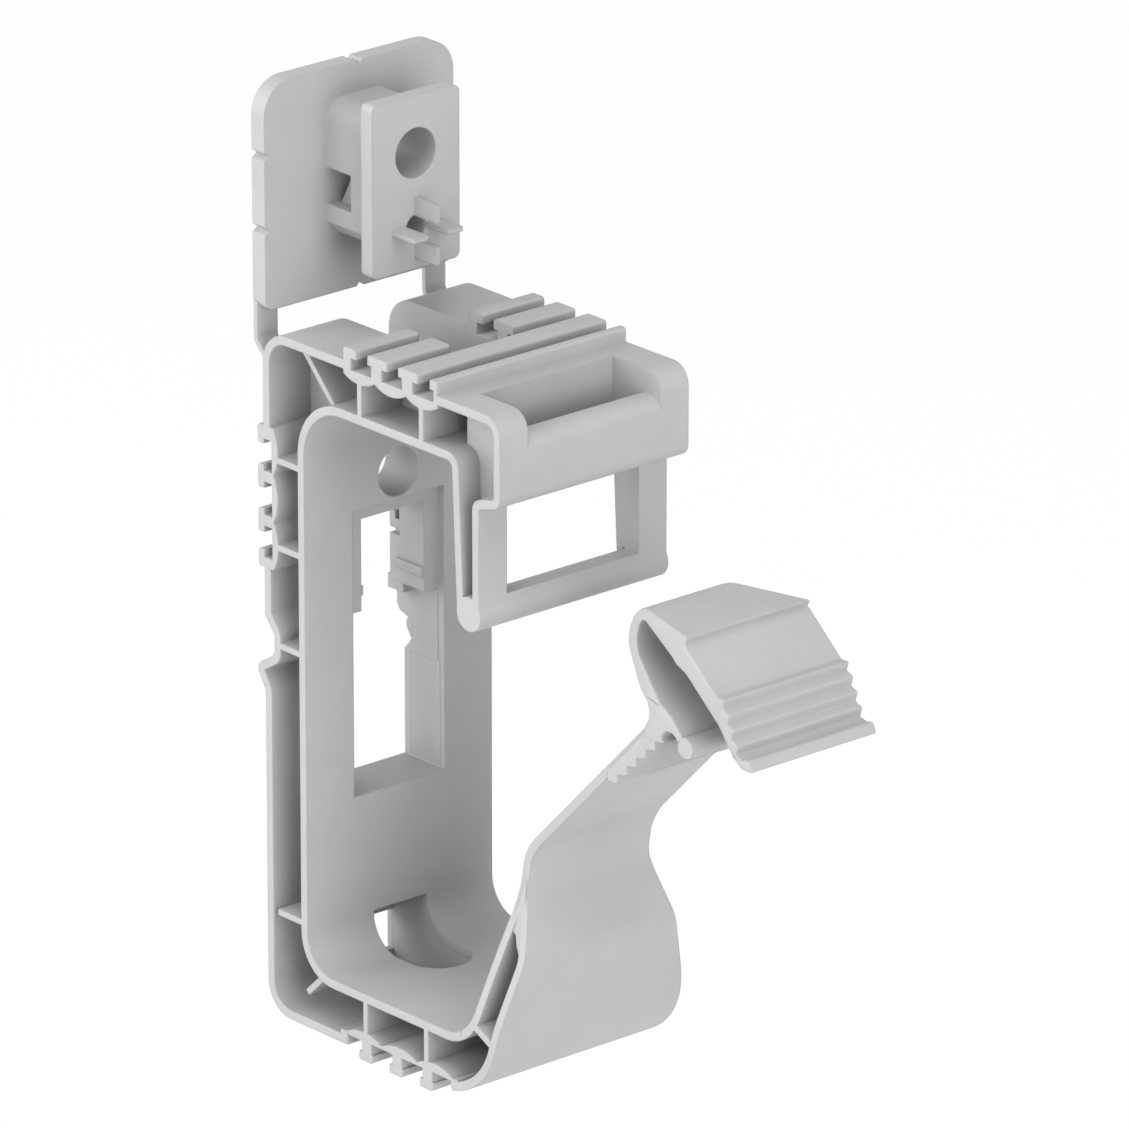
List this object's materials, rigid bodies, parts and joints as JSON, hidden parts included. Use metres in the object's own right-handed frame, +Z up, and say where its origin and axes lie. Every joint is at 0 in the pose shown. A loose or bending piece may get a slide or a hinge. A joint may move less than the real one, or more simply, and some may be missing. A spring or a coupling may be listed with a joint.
{
  "type": "cable bundle holder",
  "caption": "Wall holder for a bundle of cables: a ribbed loop with a latch window, a spring arm with a grip, and a break-off adapter plate.",
  "frame": {"origin": "centre of the screw bore's mouth, on the rear face of the cable space, where the screw head bears", "axes": "X across the holder, +Y into the wall along the screw, +Z up"},
  "size_m": [0.0328, 0.0931, 0.1329],
  "materials": {
    "moulding": "light grey moulded plastic, fine satin"
  },
  "bodies": {
    "root": {"cable_holder": "moulding"}
  },
  "joints": []
}
